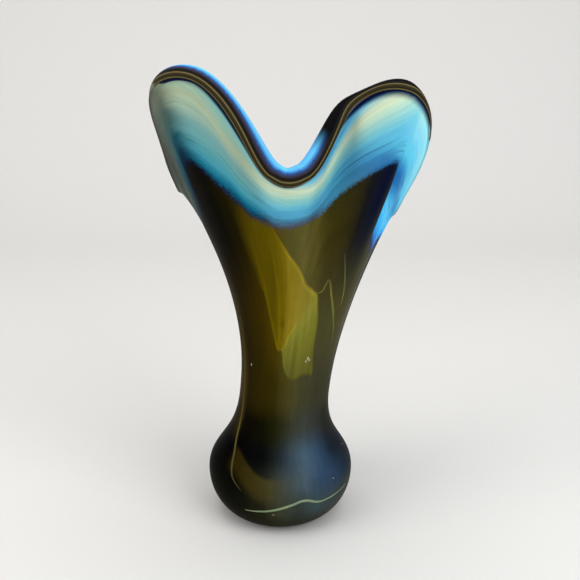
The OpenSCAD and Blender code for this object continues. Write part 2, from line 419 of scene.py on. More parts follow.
skin_recipe = Recipe("skin", {label: float for label in SKIN_SIZES}, blow_skin)
skin = skin_recipe.run("skin", lip_line, SKIN_SIZES)
reach = max(math.hypot(vertex.co.x, vertex.co.y) for vertex in skin.data.vertices)
print("the skin reaches", round(reach / MM, 1), "mm from the axis")

# %% [markdown]
# A coat is a band of the skin with a thickness: the rows that it covers are kept, moved in to its
# outer depth and extruded inwards to its inner depth. Solidify would do it too, but it can't stop at
# a seam, and here each coat has to meet the next one face to face. The same tree makes the first
# gather, which carries the others and steps back behind the lining.

# %% Coats of glass
COAT_T = 1.5 * MM
WALL_T = 6 * MM
LINING_T = 1 * MM
CORNER = math.radians(35)
NO_LEDGE = 1000


def tidy(tree, mesh):
    """Closes the seams, and shades the faces smooth apart from the corners."""
    whole = tree.add("GeometryNodeMergeByDistance", {0: mesh, "Distance": MERGE})
    smooth = tree.add("GeometryNodeSetShadeSmooth", {0: whole, "Shade Smooth": True}, domain="FACE")
    bend = tree.add("GeometryNodeInputMeshEdgeAngle")
    return tree.add("GeometryNodeSetShadeSmooth",
                    {0: smooth, "Selection": bend > CORNER, "Shade Smooth": False}, domain="EDGE")


def shell(tree, face, way, depth):
    """Gives a face a thickness: its copy is extruded against way, turned round and joined to it."""
    inner = tree.add("GeometryNodeExtrudeMesh",
                     {0: face, "Offset": way, "Offset Scale": 0.0 - depth, "Individual": False})
    turned = tree.add("GeometryNodeFlipFaces", {0: inner})
    return tree.add("GeometryNodeJoinGeometry", {0: [face, turned]})


def cut_coat(tree, size):
    row = named(tree, "row")
    outside = (row < size["First row"] - 0.5) + (row > size["Last row"] + 0.5)
    band = tree.add("GeometryNodeDeleteGeometry", {0: size["Geometry"], "Selection": outside},
                    domain="POINT")
    outward = named(tree, "outward", "FLOAT_VECTOR")
    face = tree.add("GeometryNodeSetPosition",
                    {0: band, "Offset": outward * (0.0 - size["Outer depth"])})
    ledge = (row > size["Ledge row"]) * size["Ledge"]
    return tidy(tree, shell(tree, face, outward, size["Inner depth"] - size["Outer depth"] - ledge))


coat_recipe = Recipe("coat", {"First row": float, "Last row": float, "Outer depth": float,
                              "Inner depth": float, "Ledge row": float, "Ledge": float,
                              "Finish": bpy.types.Material}, cut_coat)


def coat(name, first, last, outer, inner, glass, ledge_row=NO_LEDGE, ledge=0.0):
    """A coat from one row to another and from one depth to another, in a named glass."""
    return coat_recipe.run(name, skin.data, {
        "First row": float(first), "Last row": float(last), "Outer depth": outer, "Inner depth": inner,
        "Ledge row": float(ledge_row), "Ledge": ledge, "Finish": finish[glass]})


core = coat("core_glass", WIDEST_ROW, LIP_ROW, COAT_T, WALL_T, "core_glass", WRAP_ROW, LINING_T)
bulb_coat = coat("bulb_coat_glass", WIDEST_ROW, COAT_ROW, 0.0, COAT_T, "foot_glass")
body_coat = coat("body_coat_glass", COAT_ROW, WRAP_ROW, 0.0, COAT_T, "olive_glass")
lip_wrap = coat("lip_wrap_glass", WRAP_ROW, LIP_ROW, 0.0, COAT_T, "turquoise_glass")
lining = coat("lining_glass", WRAP_ROW, LIP_ROW, WALL_T - LINING_T, WALL_T, "lining_glass")

# %% [markdown]
# The foot is turned, so its mesh is a lathe shape: one profile, stepped round the axis. It is closed
# by a point in the middle of the flat underneath and another at the bottom of the hollow.

# %% The foot
FLOOR_T = 12 * MM
FOOT_TURNS = 288
HOLLOW_STEPS = 24
FLAT = -2.0


def lathe(name, profile, turns, glass):
    """Turns a profile of (radius, height, way up) round the z axis. Radius 0 makes a pole."""
    build = bmesh.new()
    unrolled = build.loops.layers.uv.new("UVMap")
    rings = []
    for radius, height, _ in profile:
        steps = range(turns) if radius > 0 else [0]
        rings.append([build.verts.new((radius * math.cos(math.tau * j / turns),
                                       radius * math.sin(math.tau * j / turns), height)) for j in steps])
    for k in range(len(profile) - 1):
        low, high = rings[k], rings[k + 1]
        for j in range(turns):
            corners = [(low, j, k), (low, j + 1, k), (high, j + 1, k + 1), (high, j, k + 1)]
            if len(low) == 1:
                corners = corners[1:]
            if len(high) == 1:
                corners = corners[:3]
            face = build.faces.new([ring[i % len(ring)] for ring, i, _ in corners])
            face.smooth = True
            for loop, (_, i, row) in zip(face.loops, corners):
                loop[unrolled].uv = (i / turns, v_of(profile[row][2]))
    bmesh.ops.recalc_face_normals(build, faces=build.faces)
    for edge in build.edges:
        edge.smooth = edge.calc_face_angle(0.0) < CORNER
    mesh = bpy.data.meshes.new(name)
    build.to_mesh(mesh)
    build.free()
    mesh.materials.append(finish[glass])
    made = bpy.data.objects.new(name, mesh)
    scene.collection.objects.link(made)
    print("lathe:", name, len(mesh.polygons), "faces")
    return made


def foot_profile():
    """From the middle of the flat, up the outside, and down the hollow to its middle."""
    points = [(0.0, 0.0, FLAT), (CONTACT_R / 2, 0.0, FLAT)]
    steps = FOOT_ROWS * 2
    for k in range(steps + 1):
        turn = math.pi / 2 * k / steps
        points.append((CONTACT_R + (FOOT_R - CONTACT_R) * math.sin(turn),
                       FOOT_WIDE_Z * (1 - math.cos(turn)), FLAT + k / steps))
    inner_r = FOOT_R - WALL_T
    for k in range(HOLLOW_STEPS + 1):
        turn = math.pi / 2 * k / HOLLOW_STEPS
        radius = inner_r * math.cos(turn) if k < HOLLOW_STEPS else 0.0
        points.append((radius, FOOT_WIDE_Z - (FOOT_WIDE_Z - FLOOR_T) * math.sin(turn), FLAT))
    return points


foot = lathe("foot_glass", foot_profile(), FOOT_TURNS, "foot_glass")

# %% [markdown]
# The lip is rolled: the hot edge of the wall is turned over into a round bead. Its section is a
# circle that meets the end of the wall on both corners, and the tree carries that section along the
# lip line, square to the wall at every place. The gold thread is laid along it by the same frame.

# %% A frame along the lip
BEAD_R = 4.6 * MM
BEAD_STEPS = 40
THREAD_STEPS = 16
THREAD_MIDDLE = math.radians(4)
THREAD_HALF = math.radians(8)
THREAD_H = 0.4 * MM
UNDER = -0.1


def skin_of(tree, size):
    """The skin as geometry, to look places up on it."""
    return tree.add("GeometryNodeObjectInfo", {0: size["Skin"]}, out="Geometry",
                    transform_space="ORIGINAL")


def lip_frame(tree, size, at):
    """The middle of the lip's section, its radius, the way out and the way up at place at."""
    lip = size["Geometry"]
    place = tree.add("GeometryNodeInputPosition")
    outward = named(tree, "outward", "FLOAT_VECTOR")
    normal = tree.add("GeometryNodeSampleNearestSurface",
                      {0: skin_of(tree, size), 1: outward, "Sample Position": place},
                      data_type="FLOAT_VECTOR")
    count = float(COLUMNS)
    here = sample(tree, lip, place, at, "FLOAT_VECTOR")
    ahead = sample(tree, lip, place, tree.math("MODULO", at + 1, count), "FLOAT_VECTOR")
    behind = sample(tree, lip, place, tree.math("MODULO", at + (COLUMNS - 1), count), "FLOAT_VECTOR")
    out = tree.vector("NORMALIZE", sample(tree, lip, normal, at, "FLOAT_VECTOR"))
    up = tree.vector("NORMALIZE", tree.vector("CROSS_PRODUCT", out, ahead - behind))
    half = size["Wall"] * 0.5
    radius = half + (size["Radius"] - half) * sample(tree, lip, named(tree, "fullness"), at)
    rise = tree.math("SQRT", radius * radius - half * half)
    return here - out * half + up * rise, radius, out, up


print(f"the lip is up to {2 * BEAD_R / MM:.1f} mm thick, on a wall of {WALL_T / MM:.0f} mm")

# %% Roll the lip and lay its thread
def sweep_lip(tree, size, steps, section):
    """Carries a closed section round the lip. section gives a turn angle and a lift over the lip."""
    sheet, column, step = grid_places(tree, COLUMNS, steps)
    at = tree.math("MODULO", column, float(COLUMNS))
    middle, radius, out, up = lip_frame(tree, size, at)
    angle, lift = section(tree.math("MODULO", step, float(steps)) / (steps - 1), radius)
    spoke = out * tree.math("COSINE", angle) + up * tree.math("SINE", angle)
    place = middle + spoke * (radius + lift)
    azimuth = sample(tree, size["Geometry"], named(tree, "azimuth"), at)
    azimuth = azimuth + 360 * (column > COLUMNS - 0.5)
    kept = store_uv(tree, sheet, tree.xyz(azimuth / 360, step / steps, 0.0))
    return tidy(tree, tree.add("GeometryNodeSetPosition", {0: kept, "Position": place}))


def roll_lip(tree, size):
    def section(share, radius):
        corner = tree.math("ARCCOSINE", size["Wall"] * 0.5 / radius)
        return share * (corner * 2 + math.pi) - corner, 0.0
    return sweep_lip(tree, size, BEAD_STEPS, section)


def lay_thread(tree, size):
    def section(share, _):
        turn = share * (math.tau * (THREAD_STEPS - 1) / THREAD_STEPS)
        swell = tree.math("MAXIMUM", tree.math("SINE", turn), UNDER) * size["Height"]
        return size["Middle"] - tree.math("COSINE", turn) * size["Half"], swell
    return sweep_lip(tree, size, THREAD_STEPS, section)


LIP_INPUTS = {"Skin": bpy.types.Object, "Wall": float, "Radius": float, "Finish": bpy.types.Material}
THREAD_INPUTS = {**LIP_INPUTS, "Middle": float, "Half": float, "Height": float}
lip_sizes = {"Skin": skin, "Wall": WALL_T, "Radius": BEAD_R}
bead = Recipe("rolled_lip", LIP_INPUTS, roll_lip).run(
    "lip_bead_glass", lip_line, {**lip_sizes, "Finish": finish["bead_glass"]})
thread = Recipe("thread", THREAD_INPUTS, lay_thread).run(
    "gold_thread_glass", lip_line,
    {**lip_sizes, "Middle": THREAD_MIDDLE, "Half": THREAD_HALF, "Height": THREAD_H,
     "Finish": finish["gold_glass"]})

# %% [markdown]
# Trails are drawn on the unrolled wall as a few places, each a station round the lip and a way up,
# and laid on the skin by looking up the same place in its UV map. A trail's section is a low lens
# that thins to nothing at both ends and sinks a little into the wall, as hot glass does.

# %% Where the trails run
TRAIL_H = 0.4 * MM
SINK = 0.05 * MM
TRAIL_SECTION = 12
TRAILS = {
    "zigzag_trail": ([(14, 0.385), (14.25, 0.39), (14.45, 0.425), (14.65, 0.38), (14.95, 0.32),
                      (15.2, 0.27), (15.4, 0.22)], 1.4 * MM),
    "fine_trail": ([(14.72, 0.52), (14.88, 0.46), (15.05, 0.4), (15.15, 0.35)], 0.9 * MM),
    "side_trail": ([(10.25, 0.42), (10.25, 0.2), (10.2, 0), (10.33, -0.29), (10.53, -0.5),
                    (10.67, -0.71), (10.8, -0.83), (11.1, -0.95)], 1.6 * MM),
    "foot_trail": ([(11.15, -1.23), (11.7, -1.21), (12.25, -1.18), (12.77, -1.13), (13.3, -1.07),
                    (13.8, -1.03), (14.64, -1.09), (15.2, -1.11), (15.95, -1.07)], 1.8 * MM),
}
TRAIL_STEPS = 120
TRAIL_GLASS = {"side_trail": "amber_glass"}


def along(points, p):
    """Smooth curve through a list of points, p running from 0 to its last index."""
    last = len(points) - 1
    i = min(last - 1, math.floor(p))
    around = [points[max(0, i - 1)], points[i], points[i + 1], points[min(last, i + 2)]]
    return [spline(*[q[axis] for q in around], p - i) for axis in range(len(points[0]))]


def unroll(u, way_up):
    """A station and a way up the wall as a place in the skin's UV map."""
    return (rim_at(u, AZIMUTH) / 360, v_of(way_up), 0.0)


def draw_path(name, points):
    """A trail's middle line on the unrolled wall."""
    mesh = bpy.data.meshes.new(name)
    last = len(points) - 1
    drawn = [unroll(*along(points, last * k / TRAIL_STEPS)) for k in range(TRAIL_STEPS + 1)]
    mesh.from_pydata(drawn, [(k, k + 1) for k in range(TRAIL_STEPS)], [])
    return mesh


print("trails:", ", ".join(f"{name} {width / MM:.1f} mm wide" for name, (_, width) in TRAILS.items()))

# %% Lay the trails
def on_skin(tree, skin_mesh, place, attribute=None):
    """Position on the skin, or another of its attributes, at a place of its UV map."""
    value = (named(tree, attribute, "FLOAT_VECTOR") if attribute
             else tree.add("GeometryNodeInputPosition"))
    return tree.add("GeometryNodeSampleUVSurface",
                    {0: skin_mesh, 1: value, 2: named(tree, "UVMap", "FLOAT_VECTOR"), 3: place},
                    data_type="FLOAT_VECTOR")


def lay_trail(tree, size):
    path = size["Geometry"]
    skin_mesh = skin_of(tree, size)
    sheet, column, step = grid_places(tree, TRAIL_STEPS, TRAIL_SECTION)

    def drawn(k):
        return sample(tree, path, tree.add("GeometryNodeInputPosition"), k, "FLOAT_VECTOR")

    here = drawn(column)
    ahead = on_skin(tree, skin_mesh, drawn(tree.math("MINIMUM", column + 1, float(TRAIL_STEPS))))
    behind = on_skin(tree, skin_mesh, drawn(tree.math("MAXIMUM", column - 1, 0.0)))
    out = on_skin(tree, skin_mesh, here, "outward")
    across = tree.vector("NORMALIZE", tree.vector("CROSS_PRODUCT", out, ahead - behind))
    swell = tree.math("SINE", column * (math.pi / TRAIL_STEPS)) ** 0.5
    turn = step * (math.tau / TRAIL_SECTION)
    lens = tree.math("SINE", turn)
    rise = tree.math("MAXIMUM", lens, UNDER) * size["Height"] * swell - size["Sink"]
    place = (on_skin(tree, skin_mesh, here) + out * rise
             + across * (tree.math("COSINE", turn) * size["Width"] * 0.5 * swell))
    kept = store_uv(tree, sheet, here)
    kept = store(tree, kept, "crest", tree.math("MAXIMUM", lens, 0.0))
    laid = tree.add("GeometryNodeSetPosition", {0: kept, "Position": place})
    return tidy(tree, tree.add("GeometryNodeFlipFaces", {0: laid}))


trail_recipe = Recipe("trail", {"Skin": bpy.types.Object, "Width": float, "Height": float,
                                "Sink": float, "Finish": bpy.types.Material}, lay_trail)
trails = {
    name: trail_recipe.run(name + "_glass", draw_path(name, points), {
        "Skin": skin, "Width": width, "Height": TRAIL_H, "Sink": SINK,
        "Finish": finish[TRAIL_GLASS.get(name, "celadon_glass")]})
    for name, (points, width) in TRAILS.items()
}

# %% [markdown]
# A drape is a sheet of softer glass that ran down the wall. It is drawn as a patch of the unrolled
# wall, from an outline of ways up with the stations of its left and right edge, and swells from
# nothing at its edges to its full height, so that it melts into the coat around it.

# %% Where the drapes hang
DRAPE_STEPS = 72
DRAPE_ACROSS = 48
DRAPE_UNDER = 0.3 * MM
EDGE_POWER = 6
DRAPES = {
    "amber_drape": [(0.68, 11.3, 12.15), (0.6, 11.15, 12.7), (0.5, 11.1, 13.2), (0.4, 11.15, 13.9),
                    (0.32, 11.3, 14.05), (0.235, 11.85, 12.3)],
    "celadon_drape": [(0.29, 12.8, 14.2), (0.2, 12.5, 14.4), (0.12, 12.9, 14.2)],
}


def draw_drape(name, outline):
    """The drape as a flat patch on the unrolled wall, with how far each place swells."""
    mesh = bpy.data.meshes.new(name)
    points, swell = [], []
    for k in range(DRAPE_STEPS + 1):
        way_up, left, right = along(outline, (len(outline) - 1) * k / DRAPE_STEPS)
        for i in range(DRAPE_ACROSS + 1):
            share = i / DRAPE_ACROSS
            points.append(unroll(left + (right - left) * share, way_up))
            across = 1 - (2 * share - 1) ** EDGE_POWER
            down = 1 - (2 * k / DRAPE_STEPS - 1) ** EDGE_POWER
            swell.append(max(0.0, across * down))
    wide = DRAPE_ACROSS + 1
    mesh.from_pydata(points, [], [
        (k * wide + i, (k + 1) * wide + i, (k + 1) * wide + i + 1, k * wide + i + 1)
        for k in range(DRAPE_STEPS) for i in range(DRAPE_ACROSS)])
    add_attribute(mesh, "swell", swell)
    return mesh


patches = {name: draw_drape(name, outline) for name, outline in DRAPES.items()}
print("drapes:", ", ".join(f"{name} {len(patch.vertices)} places" for name, patch in patches.items()))

# %% Lay the drapes
def lay_drape(tree, size):
    skin_mesh = skin_of(tree, size)
    here = tree.add("GeometryNodeInputPosition")
    out = on_skin(tree, skin_mesh, here, "outward")
    kept = store_uv(tree, size["Geometry"], here)
    kept = store(tree, kept, "outward", out, "FLOAT_VECTOR")
    rise = named(tree, "swell") * size["Height"] - size["Sink"]
    face = tree.add("GeometryNodeSetPosition",
                    {0: kept, "Position": on_skin(tree, skin_mesh, here) + out * rise})
    return tidy(tree, shell(tree, face, named(tree, "outward", "FLOAT_VECTOR"), size["Under"]))


drape_recipe = Recipe("drape", {"Skin": bpy.types.Object, "Height": float, "Sink": float,
                                "Under": float, "Finish": bpy.types.Material}, lay_drape)
drapes = {
    name: drape_recipe.run(name + "_glass", patch, {
        "Skin": skin, "Height": TRAIL_H, "Sink": SINK, "Under": DRAPE_UNDER,
        "Finish": finish[name.replace("drape", "glass")]})
    for name, patch in patches.items()
}
bpy.data.objects.remove(skin)

# %% [markdown]
# Now the colours. Each batch of coloured glass runs and swirls while it is hot, so on the real vase
# the colours follow the wall, not the axes of the room. They are painted on the unrolled wall: a
# Color Ramp round the vase gives the glass at one way up, and such rings are blended up the wall.
# The whole painting is one node group, so that every piece that is cut from the skin takes its
# colour from it and no seam shows.

# %% Colours by place
HIGHEST = 1.2


def glass_rgb(red, green, blue):
    """A colour as a screen shows it, from 0 to 255, as the linear colour that nodes use."""
    def linear(c):
        c = c / 255
        return c / 12.92 if c <= 0.04045 else ((c + 0.055) / 1.055) ** 2.4
    return (linear(red), linear(green), linear(blue), 1.0)


def ring_of_glass(tree, turn, stops):
    """The colour round the vase at one way up, from (azimuth, colour) stops."""
    closed = stops + [(360, stops[0][1])]
    if stops[0][0] > 0:
        closed = [(0, stops[0][1])] + closed
    return tree.add("ShaderNodeValToRGB", {0: turn}, ramp=[(a / 360, glass_rgb(*c)) for a, c in closed])


def height_round(tree, turn, stops):
    """A way up the wall that changes round the vase, from (azimuth, way up) stops."""
    points = [(a / 360, v / HIGHEST) for a, v in stops + [(360, stops[0][1])]]
    return HIGHEST * tree.add("ShaderNodeFloatCurve", {"Value": turn}, ramp=points)


def azimuth_up(tree, way_up, stops):
    """An azimuth that changes up the wall, from (way up, azimuth) stops."""
    points = [(v, a / 360) for v, a in stops]
    return 360 * tree.add("ShaderNodeFloatCurve", {"Value": way_up}, ramp=points)


def noise(tree, vector, scale=1.0, detail=3.0, roughness=0.5, distortion=0.0):
    """Noise from -1 to 1 or so, around 0."""
    value = tree.add("ShaderNodeTexNoise", {"Vector": vector, "Scale": scale, "Detail": detail,
                                            "Roughness": roughness, "Distortion": distortion})
    return (value - 0.5) * 2


def ramp_of(tree, value, stops, low, high):
    """A Color Ramp over values from low to high."""
    place = (value - low) / (high - low)
    return tree.add("ShaderNodeValToRGB", {0: place},
                    ramp=[((w - low) / (high - low), glass_rgb(*c)) for w, c in stops])


def near(tree, value, middle, reach):
    """1 at middle, falling smoothly to 0 at reach on both sides."""
    return 1 - tree.ease(0.0, reach, tree.math("ABSOLUTE", value - middle))


def shade(tree, colour, factor):
    """A colour made lighter or darker by a factor."""
    return tree.add("ShaderNodeMix", {0: 1.0, 1: colour, 2: factor}, data_type="RGBA",
                    blend_type="MULTIPLY")


def body_place(tree):
    """The place in the vase's own space, for grain that has no direction."""
    return tree.add("ShaderNodeTexCoord", out="Object")


def on_circle(tree, angle, radius, height):
    """A place on a circle, so that noise on it has no seam round the vase."""
    return tree.xyz(tree.math("COSINE", angle) * radius, tree.math("SINE", angle) * radius, height)


print("middle grey on a screen is", round(glass_rgb(128, 128, 128)[0], 3), "of white in light")

# %% [markdown]
# The pale wrap is laid on in a spiral and pulled down by each lobe, so its lower edge and its cream
# crest both wander. Everything in it is painted by its share of the way between those two lines.

# %% The lines that the glass follows
WRAP_EDGE = [(0, 0.84), (14, 0.8), (30, 0.68), (45, 0.64), (60, 0.72), (78, 0.8), (92, 0.81), (108, 0.78),
             (124, 0.69), (138, 0.65), (152, 0.72), (168, 0.79), (180, 0.77), (190, 0.7), (198, 0.65),
             (211, 0.655), (214, 0.76), (219, 0.785), (226, 0.76), (234, 0.7), (240, 0.665), (243, 0.655),
             (247, 0.68), (251, 0.725), (256, 0.755), (263, 0.772), (270, 0.765), (276, 0.745), (281, 0.715),
             (286, 0.68), (290, 0.668), (293, 0.68), (296, 0.715), (299, 0.757), (303, 0.797), (307, 0.824),
             (309.8, 0.83), (310.7, 0.78), (311.3, 0.63), (313.5, 0.595), (320, 0.58), (328, 0.595),
             (337, 0.64), (341, 0.69), (345, 0.77), (350, 0.83)]
CREAM_CREST = [(0, 1.04), (15, 1.0), (30, 0.93), (45, 0.9), (60, 0.95), (78, 0.985), (95, 0.985),
               (112, 0.95), (130, 0.9), (145, 0.93), (165, 0.98), (190, 1.0), (205, 0.99), (220, 0.985),
               (232, 0.972), (239, 0.93), (245, 0.875), (250, 0.91), (256, 0.958), (264, 0.972),
               (270, 0.955), (276, 0.915), (282, 0.862), (286.5, 0.832), (290, 0.845), (293, 0.89),
               (296, 0.94), (299, 0.97), (303, 1.0), (308, 1.05), (313, 1.1), (325, 1.1), (340, 1.1),
               (350, 1.07)]
LIP_SHADOW = [(0, 1.0), (235, 1.0), (243, 0.99), (250, 0.982), (256, 0.993), (268, 0.993), (275, 0.985),
              (280, 0.972), (284, 0.965), (289, 0.975), (294, 0.986), (302, 0.989), (316, 0.99), (328, 0.998),
              (340, 1.02)]
AMBER_LEFT = [(0.0, 256), (0.22, 256), (0.24, 252), (0.27, 248.5), (0.31, 245), (0.35, 242), (0.4, 240.5),
              (0.45, 239.5), (0.5, 238.5), (0.6, 239), (0.66, 242), (0.7, 247), (0.75, 252), (1.0, 252)]
AMBER_RIGHT = [(0.0, 300), (0.11, 299), (0.15, 297), (0.2, 295.5), (0.28, 295), (0.35, 293), (0.385, 291.5),
               (0.4, 289), (0.43, 285), (0.47, 280), (0.54, 274), (0.6, 268), (0.65, 262), (0.69, 258),
               (0.72, 254.5), (0.75, 252), (1.0, 252)]
DRAPE_FOOT = [(0, 0.4), (240, 0.4), (245, 0.31), (250, 0.252), (254, 0.235), (258, 0.24), (261, 0.2),
              (265, 0.155), (270, 0.13), (276, 0.117), (288, 0.115), (300, 0.1), (310, 0.1)]
CELADON_EDGE = [(0.0, 252), (0.235, 255), (0.255, 260), (0.31, 266), (0.34, 271), (0.4, 280),
                (0.5, 295), (1.0, 300)]
print("the wrap's edge lies", min(v for _, v in WRAP_EDGE), "to", max(v for _, v in WRAP_EDGE), "up the wall")

# %% [markdown]
# The body's colours, ring by ring up the wall. The front is olive-brown and amber between a
# near-black side and a blue-grey foot, and the back carries on in the same way. Part of the
# blue-grey on the right of the foot and bulb is painted reflection of the window.

# %% Rings of body glass
BODY_RINGS_WITH_SHEEN = [
    (-1.5, [(20, (58, 54, 40)), (60, (30, 26, 14)), (110, (52, 48, 30)), (150, (26, 22, 10)),
            (200, (24, 18, 6)), (216, (28, 24, 8)), (232, (26, 22, 8)), (250, (28, 28, 14)),
            (266, (36, 36, 18)), (282, (40, 44, 30)), (300, (48, 48, 36)), (320, (62, 60, 50)),
            (344, (60, 58, 48))]),
    (-1.15, [(20, (50, 50, 44)), (60, (22, 22, 14)), (110, (44, 46, 38)), (150, (16, 16, 8)),
             (200, (10, 8, 2)), (224, (7, 8, 3)), (240, (15, 17, 8)), (256, (32, 32, 18)),
             (270, (58, 60, 44)), (285, (50, 58, 54)), (300, (54, 70, 72)), (320, (54, 62, 62)),
             (344, (56, 56, 46))]),
    # Lighter blue-grey at 280 to 316 degrees in this ring and the next: partly painted window reflection.
    (-0.8, [(20, (26, 32, 40)), (60, (10, 12, 12)), (110, (28, 38, 48)), (150, (10, 10, 6)),
            (200, (6, 6, 3)), (235, (6, 7, 3)), (248, (18, 20, 10)), (258, (30, 32, 24)),
            (270, (54, 58, 52)), (282, (60, 72, 74)), (292, (62, 78, 88)), (304, (46, 66, 88)),
            (316, (42, 60, 82)), (330, (30, 46, 62)), (344, (28, 36, 44))]),
    (-0.45, [(20, (20, 24, 34)), (60, (6, 8, 12)), (110, (24, 36, 52)), (150, (6, 6, 6)), (205, (3, 3, 3)),
             (240, (3, 3, 4)), (252, (5, 7, 7)), (262, (18, 21, 20)), (272, (33, 41, 46)),
             (284, (54, 70, 80)), (294, (62, 84, 98)), (304, (54, 76, 94)), (314, (40, 60, 78)),
             (326, (25, 36, 48)), (344, (24, 26, 32))]),
    (-0.15, [(20, (34, 34, 28)), (60, (12, 11, 4)), (110, (42, 42, 26)), (150, (16, 13, 3)),
             (190, (36, 28, 6)), (200, (30, 22, 3)), (208, (52, 44, 18)), (216, (11, 7, 1)),
             (232, (9, 7, 1)), (248, (14, 13, 2)), (260, (27, 27, 6)), (272, (40, 40, 22)),
             (284, (52, 55, 44)), (296, (56, 60, 54)), (312, (50, 52, 48)), (328, (35, 37, 30)),
             (344, (36, 36, 27))]),
    (0.06, [(20, (50, 46, 24)), (60, (34, 28, 4)), (110, (60, 54, 18)), (150, (36, 28, 3)),
            (200, (52, 40, 7)), (208, (58, 47, 13)), (216, (33, 25, 1)), (230, (40, 32, 1)),
            (245, (44, 36, 2)), (256, (50, 42, 6)), (266, (60, 54, 19)), (280, (66, 63, 33)),
            (296, (62, 60, 39)), (310, (55, 54, 37)), (344, (54, 52, 34))]),
    (0.3, [(20, (62, 58, 30)), (60, (48, 38, 3)), (110, (84, 74, 18)), (150, (40, 30, 3)),
           (190, (44, 36, 16)), (205, (48, 37, 7)), (216, (32, 23, 1)), (228, (42, 32, 1)),
           (240, (56, 43, 2)), (250, (72, 58, 3)), (262, (82, 72, 18)), (280, (76, 71, 34)),
           (296, (71, 68, 38)), (310, (70, 66, 37)), (344, (68, 65, 46))]),
    (0.6, [(20, (60, 54, 28)), (60, (20, 16, 3)), (85, (66, 55, 8)), (110, (96, 82, 16)),
           (130, (60, 52, 16)), (152, (12, 10, 4)), (176, (36, 32, 20)), (204, (26, 24, 18)),
           (213, (8, 7, 3)), (226, (8, 6, 1)), (234, (25, 21, 1)), (242, (54, 43, 3)), (250, (74, 60, 3)),
           (262, (80, 74, 32)), (278, (94, 88, 42)), (288, (90, 82, 32)), (296, (64, 56, 18)),
           (301, (26, 25, 22)), (306, (30, 32, 33)), (314, (62, 60, 44)), (344, (66, 64, 50))]),
]
print("body rings at", ", ".join(str(way_up) for way_up, _ in BODY_RINGS_WITH_SHEEN), "up the wall")

# %% [markdown]
# In the wrap the colour depends on the share of the way from its edge to the cream crest. The front
# runs from a smoky edge through blue and turquoise to cream; the left lobe is teal and dull, and the
# right lobe is a clear sky blue. A grey-green strip down the left side is the pale wrap in painted
# shade, where the wall turns away from the light.

# %% The colours of the wrap
WRAP_LOW, WRAP_HIGH = -0.15, 2.45
WRAP_FRONT = [(-0.15, (76, 70, 62)), (0.03, (74, 82, 100)), (0.08, (74, 100, 124)), (0.19, (70, 132, 165)),
              (0.29, (86, 172, 210)), (0.4, (88, 172, 208)), (0.53, (112, 198, 218)), (0.62, (130, 202, 208)),
              (0.76, (164, 216, 205)), (0.88, (196, 226, 200)), (1.0, (218, 234, 200)),
              (1.1, (188, 218, 202)),
              (1.24, (130, 206, 226)), (1.47, (84, 160, 200)), (1.8, (92, 176, 216)), (2.2, (54, 128, 176)),
              (2.45, (30, 90, 140))]
WRAP_SHOULDER = [(-0.15, (14, 14, 18)), (0.0, (16, 34, 66)), (0.11, (12, 98, 126)), (0.2, (34, 122, 148)),
                 (0.3, (74, 158, 176)), (0.4, (84, 158, 168)), (0.5, (104, 168, 170)),
                 (0.66, (120, 168, 166)),
                 (0.84, (156, 184, 164)), (0.95, (174, 192, 162)), (1.0, (170, 186, 152)),
                 (1.14, (158, 190, 170)), (1.37, (140, 192, 180)), (1.65, (116, 176, 186)),
                 (2.4, (60, 120, 150))]
WRAP_LEFT = [(-0.15, (1, 3, 10)), (0.0, (1, 9, 31)), (0.12, (0, 30, 50)), (0.2, (0, 38, 56)),
             (0.3, (4, 58, 78)), (0.39, (14, 70, 86)), (0.5, (40, 86, 94)), (0.6, (60, 94, 92)),
             (0.78, (72, 94, 86)), (0.98, (102, 110, 94)), (1.2, (88, 94, 82))]
WRAP_RIGHT = [(-0.15, (12, 20, 48)), (0.0, (18, 48, 120)), (0.04, (36, 104, 186)), (0.1, (50, 160, 232)),
              (0.16, (62, 188, 250)), (0.22, (84, 200, 250)), (0.3, (74, 182, 232)), (0.38, (58, 150, 206)),
              (0.46, (66, 160, 214)), (0.53, (92, 203, 236)), (0.61, (106, 208, 240)),
              (0.69, (134, 220, 247)),
              (0.77, (155, 232, 242)), (0.85, (165, 238, 248))]
RIGHT_EDGE = 0.585
# The pale wrap in painted shade on the left side, where the wall turns away from the light.
SHADED_STRIP = [(0.62, (24, 32, 34)), (0.68, (48, 62, 60)), (0.74, (66, 82, 74)), (0.8, (70, 78, 70)),
         (0.86, (74, 78, 70)), (0.92, (66, 78, 72)), (1.0, (84, 86, 80))]
AMBER = [(238, (74, 61, 2)), (248, (82, 69, 2)), (256, (104, 88, 6)), (264, (128, 111, 26)),
         (276, (132, 118, 38)), (294, (134, 124, 42))]
CELADON = [(0.1, (88, 84, 30)), (0.16, (94, 92, 34)), (0.24, (108, 106, 36)), (0.34, (126, 124, 46)),
           (0.42, (128, 120, 42))]
print("the wrap's front has", len(WRAP_FRONT), "colours from its edge to the lip")

# %% [markdown]
# The pale specks are partly small chips and wear in the satin surface and partly painted glints of
# light. Noise would scatter them evenly and far too many, so the few that show are placed by azimuth,
# way up and size.

# %% Specks and painted glints
SPECK_TURN = 1.2
SPECK_RISE = 0.006
SPECKS_AND_GLINTS = [(221, 0.125, 1.0), (289.5, 0.162, 1.0), (291.6, 0.169, 1.2), (293.6, 0.161, 0.9),
         (265, -1.24, 1.3), (317, -0.86, 1.0), (352, -0.6, 1.0), (20, 0.3, 0.9), (84, 0.4, 1.1),
         (122, -0.5, 1.0), (150, 0.22, 0.9)]


